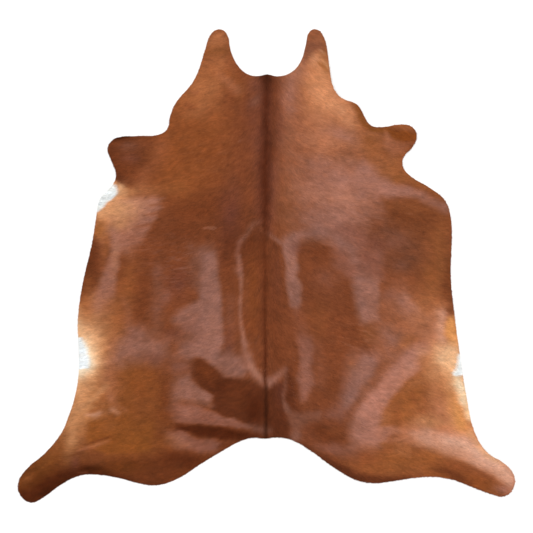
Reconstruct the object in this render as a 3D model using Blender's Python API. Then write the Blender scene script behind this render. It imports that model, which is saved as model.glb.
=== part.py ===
"""A whole cowhide, tanned with the hair on and laid out flat as a floor rug.

The hide lies on the XY plane with its hair up. +Y runs along the back towards the neck, +X is
towards the right foreleg as seen from above, and the origin is under the middle of the hide.
Lengths are in metres.
"""

import math
from collections import namedtuple

import bmesh
import bpy
from mathutils import Vector

# Driving sizes
LEATHER_THICKNESS = 0.0022
COAT_DEPTH = 0.0028                 # how high the short hair lies above the leather
SHEET_THICKNESS = LEATHER_THICKNESS + COAT_DEPTH
CELL = 0.048                        # spacing of the lines that divide the sheet, so that it can bend
CUT_SNAP = 0.004                    # a dividing line this near a corner of the outline runs through it
OUTLINE_STEPS = 3                   # straight pieces between two points of the outline
WELD_DISTANCE = 0.00001
CAP_SLOPE = 0.9                     # a face this near to level belongs to the top or the underside
SHARP_ANGLE = 40                    # degrees

# The outline, clockwise from the nape and seen from the hair side, as the knife goes round the hide.
# Each stretch is a short table in millimetres. A smooth curve runs through all the points.
OutlinePoint = namedtuple("OutlinePoint", "x y")

RIGHT_NECK_FLAP = [
    OutlinePoint(2, 850),           # nape
    OutlinePoint(46, 841),
    OutlinePoint(105, 856),
    OutlinePoint(150, 904),
    OutlinePoint(174, 980),
    OutlinePoint(193, 1042),
    OutlinePoint(226, 1048),        # tip
    OutlinePoint(253, 1018),
    OutlinePoint(270, 955),
    OutlinePoint(281, 868),
    OutlinePoint(300, 782),
    OutlinePoint(334, 744),
    OutlinePoint(399, 718),
    OutlinePoint(419, 693),
    OutlinePoint(433, 666),
]
RIGHT_FORELEG_FLAP = [
    OutlinePoint(462, 624),
    OutlinePoint(506, 615),
    OutlinePoint(602, 628),
    OutlinePoint(648, 615),
    OutlinePoint(667, 576),         # tip
    OutlinePoint(650, 530),
    OutlinePoint(607, 480),
    OutlinePoint(606, 438),
    OutlinePoint(640, 397),
]
RIGHT_FLANK = [
    OutlinePoint(723, 347),
    OutlinePoint(793, 289),
    OutlinePoint(819, 205),
    OutlinePoint(821, 85),
    OutlinePoint(817, -45),
    OutlinePoint(832, -200),
    OutlinePoint(859, -405),
    OutlinePoint(889, -592),
    OutlinePoint(923, -738),
]
RIGHT_SHANK = [
    OutlinePoint(980, -829),
    OutlinePoint(1062, -882),
    OutlinePoint(1100, -934),
    OutlinePoint(1096, -986),       # tip
    OutlinePoint(1056, -1023),
    OutlinePoint(995, -1013),
    OutlinePoint(905, -979),
    OutlinePoint(800, -943),
    OutlinePoint(690, -938),
]
RUMP = [
    OutlinePoint(570, -954),
    OutlinePoint(473, -965),        # right buttock
    OutlinePoint(389, -948),
    OutlinePoint(337, -920),
    OutlinePoint(284, -886),
    OutlinePoint(185, -813),
    OutlinePoint(108, -772),
    OutlinePoint(48, -761),
    OutlinePoint(-6, -767),         # root of the tail
    OutlinePoint(-60, -763),
    OutlinePoint(-115, -778),
    OutlinePoint(-205, -827),
    OutlinePoint(-300, -885),
    OutlinePoint(-390, -943),
    OutlinePoint(-485, -974),       # left buttock
    OutlinePoint(-560, -967),
]
LEFT_SHANK = [
    OutlinePoint(-650, -943),
    OutlinePoint(-750, -927),
    OutlinePoint(-828, -931),
    OutlinePoint(-915, -973),
    OutlinePoint(-993, -1030),
    OutlinePoint(-1046, -1051),
    OutlinePoint(-1092, -1018),
    OutlinePoint(-1102, -966),      # tip
    OutlinePoint(-1068, -906),
    OutlinePoint(-985, -834),
]
LEFT_FLANK = [
    OutlinePoint(-907, -738),
    OutlinePoint(-880, -674),
    OutlinePoint(-857, -608),
    OutlinePoint(-833, -480),
    OutlinePoint(-833, -360),
    OutlinePoint(-837, -240),
    OutlinePoint(-813, -68),
    OutlinePoint(-774, 98),
    OutlinePoint(-755, 215),
    OutlinePoint(-737, 299),
]
LEFT_FORELEG_FLAP = [
    OutlinePoint(-692, 348),
    OutlinePoint(-667, 398),
    OutlinePoint(-688, 466),
    OutlinePoint(-705, 522),        # tip
    OutlinePoint(-680, 560),
    OutlinePoint(-648, 572),
    OutlinePoint(-600, 575),
    OutlinePoint(-545, 577),
    OutlinePoint(-490, 579),
    OutlinePoint(-442, 604),
    OutlinePoint(-427, 665),
]
LEFT_NECK_FLAP = [
    OutlinePoint(-400, 727),
    OutlinePoint(-332, 806),
    OutlinePoint(-300, 870),
    OutlinePoint(-272, 958),
    OutlinePoint(-246, 1028),
    OutlinePoint(-211, 1050),       # tip
    OutlinePoint(-178, 1033),
    OutlinePoint(-158, 952),
    OutlinePoint(-118, 877),
    OutlinePoint(-72, 846),
    OutlinePoint(-30, 843),
]
OUTLINE = (
    RIGHT_NECK_FLAP + RIGHT_FORELEG_FLAP + RIGHT_FLANK + RIGHT_SHANK + RUMP
    + LEFT_SHANK + LEFT_FLANK + LEFT_FORELEG_FLAP + LEFT_NECK_FLAP
)

# Where the hide doesn't lie quite flat: long, low swells, in millimetres and degrees. Each is a
# rounded ridge on an oval, centred on x and y, whose length is turned from the X axis.
Swell = namedtuple("Swell", "x y length width turn height")

SWELLS = [
    Swell(280, 800, 420, 190, -62, 6),      # right side of the neck
    Swell(-230, 780, 380, 180, 58, 5),      # left side of the neck
    Swell(560, 540, 260, 150, 12, 6),       # right foreleg
    Swell(-560, 500, 300, 160, 8, 5),       # left foreleg
    Swell(330, 330, 620, 330, -28, 8),      # right shoulder
    Swell(-590, 60, 560, 270, 68, 7),       # left side of the belly
    Swell(-270, -190, 860, 290, 86, 10),    # left side of the barrel
    Swell(520, -60, 560, 320, 62, 8),       # right side of the barrel
    Swell(590, -520, 760, 260, 52, 11),     # right thigh
    Swell(-560, -480, 620, 300, -50, 8),    # left thigh
    Swell(-230, -680, 520, 150, -14, 9),    # fold beside the root of the tail
    Swell(860, -830, 480, 190, -24, 7),     # right shank
    Swell(-840, -830, 460, 170, 30, 7),     # left shank
]

HIDE_COLOUR = (0.22, 0.075, 0.03, 1.0)
HIDE_ROUGHNESS = 0.45
MM = 0.001


def clear_scene():
    for old in list(bpy.data.objects):
        bpy.data.objects.remove(old, do_unlink=True)


def make_collection(name):
    collection = bpy.data.collections.new(name)
    bpy.context.scene.collection.children.link(collection)
    return collection


def make_material(name, colour, roughness):
    material = bpy.data.materials.new(name)
    material.use_nodes = True
    shader = material.node_tree.nodes["Principled BSDF"]
    shader.inputs["Base Color"].default_value = colour
    shader.inputs["Roughness"].default_value = roughness
    shader.inputs["Metallic"].default_value = 0.0
    return material


def swell_height(x, y):
    """How high the underside lifts at a place, where swells that meet run softly into one another."""
    squares = 0.0
    for swell in SWELLS:
        turn = math.radians(swell.turn)
        dx = x - swell.x * MM
        dy = y - swell.y * MM
        along = (dx * math.cos(turn) + dy * math.sin(turn)) / (swell.length * MM / 2)
        across = (dy * math.cos(turn) - dx * math.sin(turn)) / (swell.width * MM / 2)
        out = math.hypot(along, across)
        if out < 1.0:
            lift = swell.height * MM * (0.5 + 0.5 * math.cos(math.pi * out))
            squares += lift * lift
    return math.sqrt(squares)


def cut_blank(collection):
    """The hide's outline as a flat slab of the sheet's thickness, standing on the XY plane."""
    curve = bpy.data.curves.new("outline", "CURVE")
    curve.dimensions = "2D"
    curve.fill_mode = "BOTH"
    curve.extrude = SHEET_THICKNESS / 2
    curve.resolution_u = OUTLINE_STEPS
    spline = curve.splines.new("BEZIER")
    spline.bezier_points.add(len(OUTLINE) - 1)
    spline.use_cyclic_u = True
    for knot, place in zip(spline.bezier_points, OUTLINE):
        knot.co = (place.x * MM, place.y * MM, 0.0)
        knot.handle_left_type = "AUTO"
        knot.handle_right_type = "AUTO"
    guide = bpy.data.objects.new("outline", curve)
    guide.location.z = SHEET_THICKNESS / 2
    collection.objects.link(guide)
    bpy.context.view_layer.update()

    evaluated = guide.evaluated_get(bpy.context.evaluated_depsgraph_get())
    mesh = bpy.data.meshes.new_from_object(evaluated)
    mesh.name = "hide"
    mesh.transform(guide.matrix_world)
    bpy.data.objects.remove(guide)
    return mesh


def join_caps(bm):
    """Welds the slab's loose caps to its rim and makes each cap one face."""
    bmesh.ops.remove_doubles(bm, verts=bm.verts, dist=WELD_DISTANCE)
    for side in (1, -1):
        bm.normal_update()
        cap = [face for face in bm.faces if face.normal.z * side > CAP_SLOPE]
        bmesh.ops.dissolve_faces(bm, faces=cap)
    bmesh.ops.recalc_face_normals(bm, faces=bm.faces)


def divide(bm):
    """Cuts the slab along evenly spaced lines both ways."""
    for axis in (0, 1):
        low = min(vert.co[axis] for vert in bm.verts)
        high = max(vert.co[axis] for vert in bm.verts)
        cells = math.ceil((high - low) / CELL)
        normal = Vector((0.0, 0.0, 0.0))
        normal[axis] = 1.0
        for line in range(1, cells):
            place = normal * (low + (high - low) * line / cells)
            everything = bm.verts[:] + bm.edges[:] + bm.faces[:]
            bmesh.ops.bisect_plane(bm, geom=everything, dist=CUT_SNAP, plane_co=place, plane_no=normal)


def make_hide(collection):
    mesh = cut_blank(collection)
    bm = bmesh.new()
    bm.from_mesh(mesh)
    join_caps(bm)
    divide(bm)
    for vert in bm.verts:
        vert.co.z += swell_height(vert.co.x, vert.co.y)
    bmesh.ops.triangulate(bm, faces=bm.faces)
    bm.to_mesh(mesh)
    bm.free()
    mesh.materials.clear()
    mesh.materials.append(make_material("hair_on_hide", HIDE_COLOUR, HIDE_ROUGHNESS))
    mesh.shade_smooth()
    mesh.set_sharp_from_angle(angle=math.radians(SHARP_ANGLE))
    hide = bpy.data.objects.new("hide", mesh)
    collection.objects.link(hide)
    return hide


clear_scene()
make_hide(make_collection("cowhide_rug"))
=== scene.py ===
import math

import bmesh
import bpy
import numpy as np
from mathutils import Matrix, Vector
from mathutils.bvhtree import BVHTree


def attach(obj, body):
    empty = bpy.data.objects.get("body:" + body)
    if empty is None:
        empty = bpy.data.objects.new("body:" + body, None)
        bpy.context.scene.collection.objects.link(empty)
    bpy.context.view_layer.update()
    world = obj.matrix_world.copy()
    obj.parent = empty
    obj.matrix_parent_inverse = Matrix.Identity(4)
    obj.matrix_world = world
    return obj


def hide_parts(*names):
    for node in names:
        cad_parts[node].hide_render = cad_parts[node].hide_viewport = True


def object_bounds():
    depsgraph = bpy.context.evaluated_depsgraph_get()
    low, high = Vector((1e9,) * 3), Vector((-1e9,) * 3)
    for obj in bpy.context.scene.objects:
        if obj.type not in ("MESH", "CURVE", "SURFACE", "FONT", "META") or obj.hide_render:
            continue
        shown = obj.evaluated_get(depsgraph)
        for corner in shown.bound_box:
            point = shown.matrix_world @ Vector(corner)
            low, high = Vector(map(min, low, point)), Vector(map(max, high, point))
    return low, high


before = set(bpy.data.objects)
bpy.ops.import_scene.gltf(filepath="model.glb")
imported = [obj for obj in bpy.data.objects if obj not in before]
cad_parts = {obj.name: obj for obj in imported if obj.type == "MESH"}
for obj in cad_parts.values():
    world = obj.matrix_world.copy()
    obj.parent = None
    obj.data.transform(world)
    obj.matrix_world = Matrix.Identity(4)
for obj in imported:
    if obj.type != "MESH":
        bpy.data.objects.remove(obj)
cadLow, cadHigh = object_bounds()
mm = 0.001

studio = {
    "fieldWidth": 2.3665,      # how much of the floor the camera sees across
    "middle": (0.0, -0.0033),  # the place on the floor under the camera
    "lens": 85.0,
    "sensor": 36.0,
    "worldStrength": 0.62,
    "floorColour": (0.86, 0.855, 0.85, 1.0),
    "floorSize": 9.0,
    "floorRoughness": 0.9,
    "floorSpecular": 0.1,
    "keyPlace": (1.4, 3.6, 4.6),
    "keySpread": 32.0,         # degrees
    "keyPower": 1.9,
    "fillPlace": (-3.6, -0.6, 4.0),
    "fillSpread": 70.0,
    "fillPower": 0.95,
}


def newMaterial(name, roughness, specular):
    material = bpy.data.materials.new(name)
    material.use_nodes = True
    tree = material.node_tree
    shader = tree.nodes["Principled BSDF"]
    shader.inputs["Roughness"].default_value = roughness
    shader.inputs["Specular IOR Level"].default_value = specular
    return material, tree, shader


def lookAt(thing, target):
    thing.rotation_mode = "QUATERNION"
    thing.rotation_quaternion = (Vector(target) - thing.location).to_track_quat("-Z", "Y")


def addCamera():
    data = bpy.data.cameras.new("camera")
    data.lens = studio["lens"]
    data.sensor_width = studio["sensor"]
    camera = bpy.data.objects.new("camera", data)
    away = studio["fieldWidth"] * studio["lens"] / studio["sensor"]
    x, y = studio["middle"]
    camera.location = (x, y, away)
    bpy.context.scene.collection.objects.link(camera)
    bpy.context.scene.camera = camera


def addSoftLight(name):
    # a sun, so that the whole floor is lit alike
    data = bpy.data.lights.new(name, "SUN")
    data.angle = math.radians(studio[name + "Spread"])
    data.energy = studio[name + "Power"]
    light = bpy.data.objects.new(name, data)
    light.location = studio[name + "Place"]
    bpy.context.scene.collection.objects.link(light)
    lookAt(light, (0.0, 0.0, 0.0))


def addStudio():
    world = bpy.data.worlds.new("studio")
    world.use_nodes = True
    background = world.node_tree.nodes["Background"]
    background.inputs["Color"].default_value = (1.0, 1.0, 1.0, 1.0)
    background.inputs["Strength"].default_value = studio["worldStrength"]
    bpy.context.scene.world = world
    addSoftLight("key")
    addSoftLight("fill")
    bpy.context.scene.view_settings.view_transform = "Standard"


def addFloor():
    bm = bmesh.new()
    bmesh.ops.create_grid(bm, x_segments=1, y_segments=1, size=studio["floorSize"])
    mesh = bpy.data.meshes.new("floor")
    bm.to_mesh(mesh)
    bm.free()
    floor = bpy.data.objects.new("floor", mesh)
    bpy.context.scene.collection.objects.link(floor)
    material, tree, shader = newMaterial("paper", studio["floorRoughness"], studio["floorSpecular"])
    shader.inputs["Base Color"].default_value = studio["floorColour"]
    mesh.materials.append(material)


# colours of the coat as they look in daylight, 0 to 255: rose, rosy, blush, shell, peach, ash, haze and
# smoke are the colours of painted sheen, the light on hair that lies another way, and peat and soot also
# paint the shadow under the fold by the tail
coatAndSheenColours = {
    "chestnut": (125, 67, 40), "auburn": (131, 73, 42), "tawny": (145, 84, 47), "golden": (161, 94, 54),
    "fawn": (173, 106, 67), "orange": (210, 138, 95), "apricot": (222, 154, 112), "amber": (213, 142, 82),
    "sand": (223, 164, 118), "cream": (240, 196, 154), "milk": (248, 226, 196), "white": (231, 232, 231),
    "russet": (137, 74, 44), "brick": (150, 87, 58), "copper": (182, 114, 81), "rose": (164, 109, 91),
    "blush": (182, 121, 98), "shell": (204, 146, 120), "ash": (149, 101, 87), "smoke": (128, 82, 66),
    "mauve": (121, 71, 55), "plum": (110, 61, 48), "umber": (108, 55, 30), "bark": (91, 45, 26),
    "peat": (79, 35, 18), "soot": (62, 28, 13), "ink": (50, 23, 12), "bronze": (137, 77, 36),
    "tan": (186, 127, 85), "ochre": (160, 95, 48), "wheat": (216, 152, 106), "haze": (141, 88, 71),
    "clay": (154, 93, 66), "honey": (150, 86, 46), "peach": (222, 168, 142), "sorrel": (142, 77, 40),
    "loam": (104, 55, 25), "rust": (130, 67, 27), "dusk": (114, 68, 48), "rosy": (176, 117, 98),
    "snow": (250, 251, 250),
}

coatTones = {
    "gloss": 0.0032,                 # what the hair's own gloss adds to every colour
    "gain": (0.862, 0.88, 0.886),    # makes up for the strength and tint of the lights
    "darkest": 0.002,
    "undercoat": 0.9,
    "lean": 0.22,                    # the hair runs outwards and a little backwards
    "washFade": 1.4,                 # leaves a quarter of a wash at its edge
    "softStray": (2.6, 1.6, 0.8),    # how far ripples and combed hair move a soft edge
    "sharpStray": (1.5, 1.0, 0.6),   # and a sharp one
    "sharpEdge": 12,                 # an edge narrower than this is a sharp one
    "clouding": (0.3, 1.1),          # how much the clouds thin or thicken a mark
    "tuftSize": (26, 4.6),
    "tuftEdge": (0.2, 0.8),          # only the brighter part of the streaks shows
    "tuftSeed": 41,
    "hue": (-0.004, 0.004, 0.016),   # how far the mottling shifts red, green and blue
}

# mottling, as layers of smooth noise: strength, length and width of a spot in millimetres, and seed
mottling = {
    "combed": ((1, 60, 9, 1), (0.6, 30, 5, 2)),
    "rippleX": ((1, 19, 17, 15),),
    "rippleY": ((1, 21, 16, 16),),
    "driftX": ((5, 48, 42, 5),),
    "driftY": ((5, 50, 38, 3),),
    "cloud": ((1, 34, 30, 21), (0.9, 17, 15, 22), (0.7, 8, 7, 23)),
    "broad": ((0.036, 90, 80, 7), (0.0324, 36, 30, 8)),
    "blots": ((0.048, 17, 13, 9), (0.0624, 8.5, 7, 13)),
    "specks": ((0.0434, 5, 4.4, 17),),
    "strands": ((0.031, 14, 3.6, 14), (0.0155, 32, 7, 19)),
    "hue": ((1, 55, 48, 31), (1, 24, 20, 32), (1, 11, 9, 33)),
    "lie": ((0.22, 130, 110, 31), (0.14, 30, 24, 32)),
}


def smoothNoise(u, v, seed):
    # one smooth value between -1 and 1 for each place, from random values on a square lattice
    u0 = np.floor(u)
    v0 = np.floor(v)
    fu = u - u0
    fv = v - v0
    fu = fu * fu * (3 - 2 * fu)
    fv = fv * fv * (3 - 2 * fv)

    def corner(i, j):
        # numbers this uneven make the values look random
        wave = np.sin((u0 + i) * 127.1 + (v0 + j) * 311.7 + seed * 74.7) * 43758.5453
        return (wave - np.floor(wave)) * 2 - 1

    low = corner(0, 0) * (1 - fu) + corner(1, 0) * fu
    high = corner(0, 1) * (1 - fu) + corner(1, 1) * fu
    return low * (1 - fv) + high * fv


def mottle(kind, x, y):
    # all layers of one kind of mottling, added up
    return sum(share * smoothNoise(x / long, y / wide, seed) for share, long, wide, seed in mottling[kind])


def softStep(low, high, value):
    t = np.clip((value - low) / (high - low), 0, 1)
    return t * t * (3 - 2 * t)


def within(x, y, places, reach):
    # which of the given places are near a stroke or a patch
    xs = [place[0] for place in places]
    ys = [place[1] for place in places]
    inX = (x > min(xs) - reach) & (x < max(xs) + reach)
    inY = (y > min(ys) - reach) & (y < max(ys) + reach)
    return np.flatnonzero(inX & inY)


def strokeCover(x, y, points, soft):
    # 1 on the stroke and 0 past its soft edge
    cover = np.zeros(x.shape)
    reach = max(point[2] for point in points) + soft
    near = within(x, y, points, reach)
    px, py = x[near], y[near]
    best = np.full(px.shape, -1e9)
    for (ax, ay, aw), (bx, by, bw) in zip(points, points[1:]):
        dx, dy = bx - ax, by - ay
        t = np.clip(((px - ax) * dx + (py - ay) * dy) / (dx * dx + dy * dy), 0, 1)
        away = np.hypot(px - ax - t * dx, py - ay - t * dy)
        best = np.maximum(best, aw + t * (bw - aw) - away)
    cover[near] = softStep(-soft, soft, best)
    return cover


def patchCover(x, y, corners, soft):
    # 1 inside the ring of corners, fading over the soft edge
    ring = [(corner[0], corner[1], corner[2] if len(corner) > 2 else soft) for corner in corners]
    cover = np.zeros(x.shape)
    near = within(x, y, ring, max(corner[2] for corner in ring))
    px, py = x[near], y[near]
    inside = np.zeros(px.shape, bool)
    nearest = np.full(px.shape, 1e9)
    edge = np.ones(px.shape)
    for (x1, y1, soft1), (x2, y2, soft2) in zip(ring, ring[1:] + ring[:1]):
        dx, dy = x2 - x1, y2 - y1
        along = np.clip(((px - x1) * dx + (py - y1) * dy) / (dx * dx + dy * dy), 0, 1)
        distance = np.hypot(px - x1 - along * dx, py - y1 - along * dy)
        closer = distance < nearest
        nearest[closer] = distance[closer]
        edge[closer] = (soft1 + (soft2 - soft1) * along)[closer]
        crossed = (y1 > py) != (y2 > py)
        inside ^= crossed & (px < x1 + dx * (py - y1) / (dy or 1e-9))
    cover[near] = softStep(-edge / 2, edge / 2, np.where(inside, nearest, -nearest))
    return cover


def washCover(x, y, place):
    # 1 in the middle of the oval, fading past its edge
    middleX, middleY, length, width, turn = place
    angle = math.radians(turn)
    dx, dy = x - middleX, y - middleY
    along = (dx * math.cos(angle) + dy * math.sin(angle)) / (length / 2)
    across = (dy * math.cos(angle) - dx * math.sin(angle)) / (width / 2)
    return np.exp(-coatTones["washFade"] * (along * along + across * across))


# the marks of the coat from the ground up, in millimetres on the hide, each with its colour and strength;
# many are painted sheen, and the folds and creases get painted shadow and highlight
coatMarks = []


def oval(coatOrSheenColour, strength, *place):
    # a soft wash: x, y, length, width and turn
    coatMarks.append((washCover, coatOrSheenColour, strength, place))


def stroke(coatOrSheenColour, strength, soft, *points):
    # the width of its soft edge, then a run of points, each x, y and half width
    coatMarks.append((strokeCover, coatOrSheenColour, strength, points, soft))


def patch(coatOrSheenColour, strength, soft, *corners):
    # the width of its soft edge, then a ring of corners x and y, some with a soft edge of their own
    coatMarks.append((patchCover, coatOrSheenColour, strength, corners, soft))


print("marks of the coat")
# ground colours in front: left neck and shoulder
oval("golden", 1.0, -310, 760, 460, 380, 40)
oval("fawn", 0.7, -265, 775, 260, 200, 60)
oval("sorrel", 0.9, -320, 590, 420, 280, 0)
oval("fawn", 0.9, -215, 985, 230, 190, 90)
oval("sorrel", 0.95, -370, 430, 480, 400, -20)
oval("umber", 0.65, -260, 250, 560, 230, 0)
oval("chestnut", 0.85, -88, 560, 720, 150, 90)
# right neck
oval("orange", 1.0, 245, 770, 600, 280, -78)
oval("copper", 0.9, 290, 580, 420, 220, 0)
oval("clay", 0.9, 105, 700, 440, 110, -88)
# right withers, shoulder and back
oval("clay", 0.85, 140, 440, 460, 190, 90)
oval("golden", 0.85, 500, 490, 420, 260, -25)
oval("auburn", 0.65, 90, 260, 380, 170, 90)
# right ribs, under a broad painted sheen
oval("rose", 0.95, 340, 370, 480, 280, 0)
oval("ash", 0.9, 310, 200, 380, 190, 0)
oval("blush", 0.75, 330, 290, 360, 130, -8)
oval("rose", 0.8, 330, 220, 330, 110, 0)
# right flank
oval("auburn", 0.8, 680, 190, 360, 260, 90)
oval("tawny", 0.8, 770, 60, 420, 110, 90)
# ground colours behind: left belly
oval("wheat", 0.9, -680, 260, 250, 170, 15)
oval("fawn", 0.9, -725, 160, 200, 130, 60)
# left flank
oval("sand", 0.95, -800, -330, 460, 190, 88)
oval("fawn", 0.7, -690, -290, 420, 180, 88)
# left thigh
oval("tan", 1.0, -830, -620, 480, 200, 78)
oval("ochre", 0.7, -740, -560, 420, 230, 80)
oval("bronze", 0.9, -600, -620, 560, 360, 85)
oval("clay", 0.7, -700, -510, 260, 130, 85)
# right hip and thigh
oval("fawn", 0.7, 690, -210, 320, 260, 60)
oval("golden", 0.9, 640, -600, 420, 320, 60)
oval("orange", 1.0, 830, -560, 620, 230, -80)
# right shank and buttock
oval("orange", 0.9, 900, -800, 460, 210, -28)
oval("copper", 0.8, 720, -740, 260, 160, 0)
oval("golden", 0.85, 600, -870, 420, 140, 4)
# left shank, root of the tail and right croup
oval("loam", 1.0, -1030, -960, 520, 300, 38)
oval("bronze", 0.7, -950, -835, 240, 90, 42)
oval("bark", 0.8, 40, -640, 300, 190, -80)
oval("mauve", 0.5, 220, -720, 280, 200, 0)
# left neck
oval("russet", 0.7, -165, 745, 150, 110, 70)
oval("fawn", 0.5, -300, 690, 160, 80, 20)
# left neck flap
patch("tawny", 0.75, 40, (-285, 972), (-150, 972), (-145, 930), (-290, 925))
stroke("russet", 0.7, 35, (-165, 990, 2), (-155, 930, 12), (-125, 885, 16), (-85, 855, 12))
stroke("sorrel", 0.7, 26, (-175, 845, 10), (-145, 830, 12), (-110, 800, 14), (-120, 740, 12))
# left neck, with freckles
stroke("copper", 0.7, 26, (-215, 850, 6), (-175, 818, 12), (-130, 780, 14))
stroke("russet", 0.9, 14, (-365, 714, 4), (-340, 704, 8), (-316, 698, 4))
stroke("russet", 0.6, 14, (-262, 700, 3), (-248, 690, 6), (-252, 670, 3))
stroke("brick", 0.6, 16, (-340, 770, 3), (-318, 762, 6), (-300, 765, 3))
# right neck flap
patch("mauve", 0.6, 47, (165, 1010), (200, 1000), (262, 995), (275, 955), (225, 960), (200, 940),
      (170, 890), (150, 900))
oval("brick", 0.8, 205, 1035, 110, 80, 0)
stroke("tawny", 0.8, 19, (256, 1010, 3), (265, 965, 9), (268, 940, 6))
stroke("apricot", 0.6, 35, (222, 920, 18), (245, 890, 14), (250, 850, 12))
# its wrinkle: painted shade in it and painted highlights along it
stroke("tawny", 0.75, 9, (226, 903, 3), (246, 888, 7), (264, 872, 5), (274, 860, 2))
stroke("cream", 0.6, 7, (252, 908, 3), (268, 888, 4), (276, 872, 2))
stroke("cream", 0.4, 7, (238, 956, 3), (256, 942, 4))
# right neck, with painted sheens; along its rim, where the edge curls down, painted shade with a painted
# highlight inside it
oval("apricot", 0.35, 280, 740, 160, 110, -40)
stroke("rose", 0.75, 48, (150, 870, 14), (112, 815, 26), (98, 760, 28), (110, 700, 18))
oval("apricot", 0.55, 342, 678, 190, 80, -58)
patch("bronze", 0.95, 20, (378, 750, 36), (396, 692, 22), (408, 655, 14), (424, 625, 12), (450, 604, 12),
      (485, 590, 12), (515, 587, 14), (538, 594, 20), (550, 608, 20), (548, 640), (440, 660), (420, 760))
patch("auburn", 0.6, 27, (402, 715, 36), (418, 668), (442, 634), (480, 609), (540, 606), (548, 640),
      (440, 660), (420, 760))
stroke("fawn", 0.6, 18, (376, 700, 4), (388, 655, 8), (408, 622, 8), (436, 600, 7), (470, 583, 5),
       (510, 576, 4))
oval("rose", 0.5, 320, 585, 150, 70, -10)
oval("rosy", 0.45, 365, 562, 150, 80, -20)
oval("orange", 0.7, 372, 690, 110, 42, -60)
# right neck flap again
oval("ochre", 0.5, 260, 892, 130, 56, -82)
# right foreleg
patch("rust", 0.92, 20, (530, 602, 34), (538, 582), (550, 566), (570, 555), (598, 549), (630, 550),
      (655, 558), (672, 568), (672, 585), (645, 598, 34), (600, 604, 34), (560, 606, 34))
stroke("golden", 0.9, 22, (556, 622, 4), (600, 620, 10), (642, 614, 10))
patch("clay", 0.8, 40, (525, 585), (552, 560), (585, 543), (640, 538), (610, 495), (560, 480), (520, 530))
stroke("copper", 0.6, 12, (526, 598, 4), (532, 575, 6), (536, 550, 6), (528, 524, 3))
stroke("russet", 0.5, 16, (510, 530, 2), (520, 500, 7), (532, 478, 4))
# right shoulder
oval("tawny", 0.8, 456, 552, 80, 70, -40)
stroke("brick", 0.6, 24, (290, 510, 6), (370, 498, 9), (450, 496, 7))
oval("golden", 0.8, 560, 430, 160, 130, 0)
oval("golden", 0.5, 470, 495, 80, 90, 20)
# withers, with a small painted sheen
stroke("russet", 0.5, 19, (135, 518, 4), (168, 516, 8), (196, 514, 3))
stroke("russet", 0.4, 22, (110, 468, 6), (130, 452, 9))
oval("copper", 0.5, 240, 540, 190, 90, -10)
oval("rose", 0.5, 235, 450, 120, 70, 0)
# right shoulder, rim and sheen
patch("tawny", 0.8, 36, (600, 430), (650, 400), (700, 370), (770, 330), (810, 290), (790, 290), (730, 322),
      (660, 352), (600, 372), (570, 355), (550, 380))
patch("rose", 0.85, 50, (430, 480), (478, 435), (505, 395), (545, 372), (575, 352), (640, 345), (640, 322),
      (560, 308), (480, 310), (400, 300), (380, 400))
# shoulder stripe, a band of painted sheen
patch("rose", 0.85, 34, (490, 350, 90), (560, 356), (640, 350), (690, 330), (735, 300), (700, 288),
      (640, 300), (560, 306), (490, 305, 90))
stroke("smoke", 0.9, 24, (700, 296, 10), (750, 276, 16), (795, 262, 20))
# under the shoulder stripe
patch("auburn", 0.9, 47, (515, 310, 22), (530, 290, 26), (600, 286), (680, 278), (740, 240), (740, 190),
      (640, 180), (560, 200), (535, 240))
# right flank, with a faint painted sheen
stroke("umber", 0.5, 40, (560, 235, 16), (640, 205, 22), (720, 195, 20))
oval("dusk", 0.75, 560, 110, 250, 170, -10)
oval("dusk", 0.7, 620, 20, 210, 130, 20)
oval("haze", 0.5, 570, 110, 150, 90, -10)
oval("haze", 0.4, 590, 5, 80, 60, 0)
# right ribs: a painted shadow, then two thin greyish lines
stroke("mauve", 0.75, 40, (360, 170, 6), (400, 130, 16), (450, 100, 26), (500, 90, 26))
stroke("smoke", 0.5, 9, (400, 258, 2), (450, 258, 4), (500, 244, 3), (530, 240, 1))
stroke("smoke", 0.4, 8, (430, 226, 2), (480, 222, 4), (520, 205, 3))
# right edge
patch("umber", 0.5, 56, (805, 20, 60), (797, -40), (768, -90), (785, -140), (812, -165), (828, -192),
      (860, -185), (850, 20))
oval("tawny", 0.7, 730, -60, 240, 110, 90)
# right barrel and loin
oval("umber", 0.5, 228, 62, 150, 90, 0)
oval("haze", 0.5, 262, -62, 130, 120, 60)
oval("auburn", 0.6, 230, -240, 220, 110, 85)
oval("umber", 0.4, 320, -520, 80, 50, 40)
# right ribs, with the pale arc of painted sheen
patch("haze", 0.85, 60, (290, 170), (430, 170), (450, 80), (515, 60), (520, -60), (400, -70), (340, -50),
      (302, 0), (296, 60))
stroke("ash", 0.85, 32, (92, 122, 14), (150, 136, 14), (210, 145, 20), (280, 138, 24), (330, 104, 28),
       (380, 76, 26), (392, 20, 16))
stroke("rose", 0.5, 16, (258, 104, 4), (285, 98, 8), (305, 100, 4))
stroke("mauve", 0.6, 14, (405, 42, 3), (450, 32, 6), (495, 18, 3))
# pale column of painted sheen on the right barrel
patch("ash", 0.9, 44, (400, -30, 70), (470, -50, 50), (500, -62, 40), (503, -120, 26), (500, -190, 26),
      (510, -255, 60), (420, -255, 60), (396, -190, 44), (386, -120, 44), (384, -70, 60))
oval("rose", 0.6, 452, -140, 180, 80, 88)
# right hip, with painted sheen and highlights
oval("clay", 0.85, 560, -190, 260, 170, 85)
oval("haze", 0.6, 540, -130, 80, 50, 0)
oval("rose", 0.7, 618, -175, 200, 90, -62)
stroke("blush", 0.7, 18, (603, -122, 4), (628, -152, 9), (652, -176, 9), (668, -204, 5))
oval("copper", 0.6, 710, -235, 180, 90, -10)
oval("blush", 0.7, 780, -220, 80, 60, 60)
stroke("shell", 0.8, 16, (772, -245, 4), (784, -222, 9), (792, -200, 4))
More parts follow.
